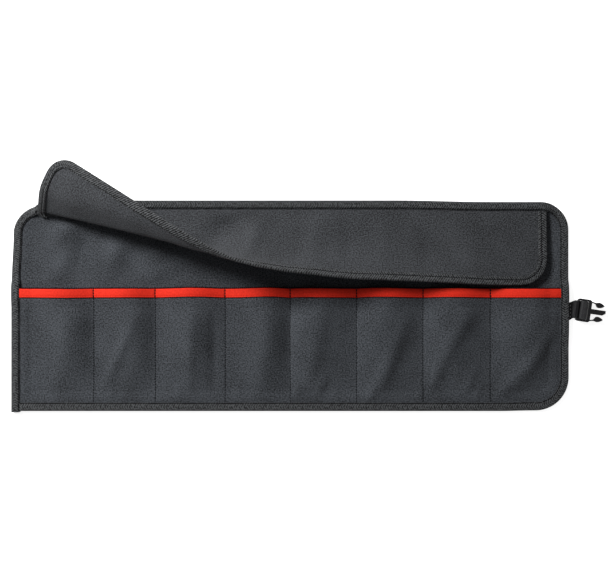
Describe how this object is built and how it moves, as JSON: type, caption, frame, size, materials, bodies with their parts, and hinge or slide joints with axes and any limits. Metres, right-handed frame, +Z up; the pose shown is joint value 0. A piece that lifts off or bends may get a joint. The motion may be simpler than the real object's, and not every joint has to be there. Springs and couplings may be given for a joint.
{
  "type": "tool pouch",
  "caption": "Flat cloth tool roll lying open: taped edge, a row of pockets with a red mouth tape, a long flap turned up at one end, and a strap with a buckle half.",
  "frame": {"origin": "centre of the panel's flat underside, on the surface that the open pouch lies on", "axes": "+X along the pouch's length towards the strap, +Y across it towards the flap's hinge, +Z up"},
  "size_m": [0.6833, 0.2827, 0.0657],
  "materials": {
    "pouch_cloth": "dark grey woven cloth, matt",
    "flap_cloth": "darker grey woven cloth, matt",
    "binding_tape": "dark grey twill tape with slanted ribs",
    "red_tape": "bright red folded tape",
    "webbing": "black woven webbing",
    "buckle_plastic": "black moulded plastic, low sheen"
  },
  "bodies": {
    "root": {"back_panel": "pouch_cloth", "pocket_panel": "pouch_cloth", "pocket_trim": "red_tape", "edge_binding": "binding_tape", "flap": "flap_cloth", "flap_binding": "binding_tape", "strap": "webbing", "buckle": "buckle_plastic"}
  },
  "joints": []
}
